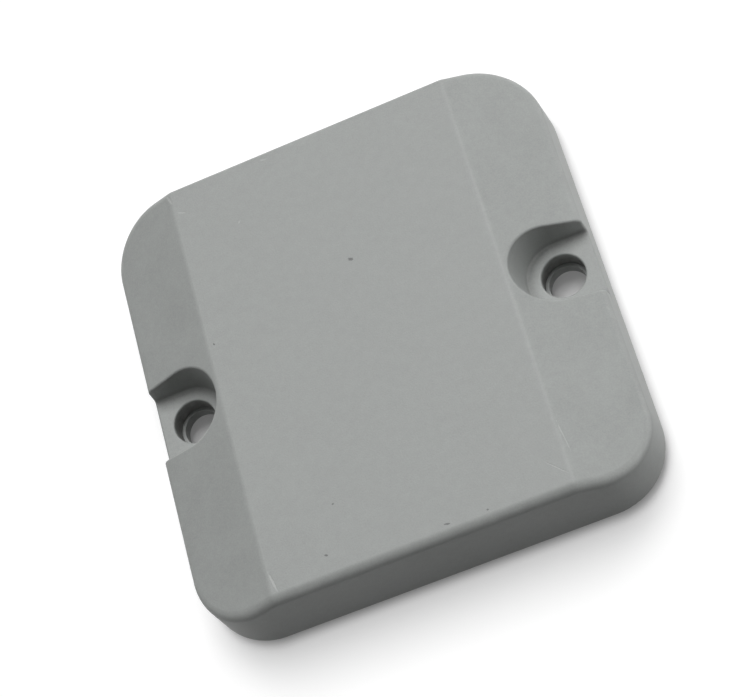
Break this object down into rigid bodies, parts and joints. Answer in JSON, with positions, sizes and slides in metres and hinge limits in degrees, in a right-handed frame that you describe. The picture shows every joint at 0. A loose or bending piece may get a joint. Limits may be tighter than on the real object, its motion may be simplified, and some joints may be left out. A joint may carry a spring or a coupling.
{
  "type": "on-metal rfid tag",
  "caption": "Flat grey square tag with sloping wings, an open pocket with a screw hole at two opposite sides, and taped back with a peel-off red liner.",
  "frame": {"origin": "middle of the release liner's underside, the lowest face of the tag", "axes": "+Z out of the cover's flat top, X through the two screw holes, Y along the two ridges; the antenna's shorted edge is at -Y"},
  "size_m": [0.0514, 0.0514, 0.0107],
  "materials": {
    "grey_plastic": "fine-grained moulded plastic",
    "adhesive": "clear tacky adhesive",
    "tape_foam": "dark closed-cell foam",
    "red_liner": "glossy film with fine streaks",
    "foil": "bright etched foil",
    "clear_film": "clear polyester film",
    "core_plastic": "natural moulded plastic",
    "conductive_glue": "silver-filled glue",
    "bump_metal": "plated metal",
    "underfill": "cured resin",
    "silicon": "polished",
    "cushion_foam": "pale soft foam"
  },
  "bodies": {
    "tag": {"top_cover": "grey_plastic", "back_plate": "grey_plastic", "weld_bead": "grey_plastic", "tape_upper_adhesive": "adhesive", "tape_foam": "tape_foam", "tape_lower_adhesive": "adhesive", "core_bond_film": "adhesive", "antenna_foil": "foil", "inlay_film": "clear_film", "inlay_adhesive": "adhesive", "antenna_core": "core_plastic", "strap_joints": "conductive_glue", "strap_pads": "foil", "strap_film": "clear_film", "chip_bumps": "bump_metal", "chip_underfill": "underfill", "chip_die": "silicon", "foam_pad": "cushion_foam", "foam_pad_adhesive": "adhesive"},
    "liner": {"release_liner": "red_liner"}
  },
  "joints": [
    {"name": "liner_peel", "type": "slide", "parent": "tag", "child": "liner", "axis": [0, 0, -1], "range_m": [0, 0.015]}
  ]
}
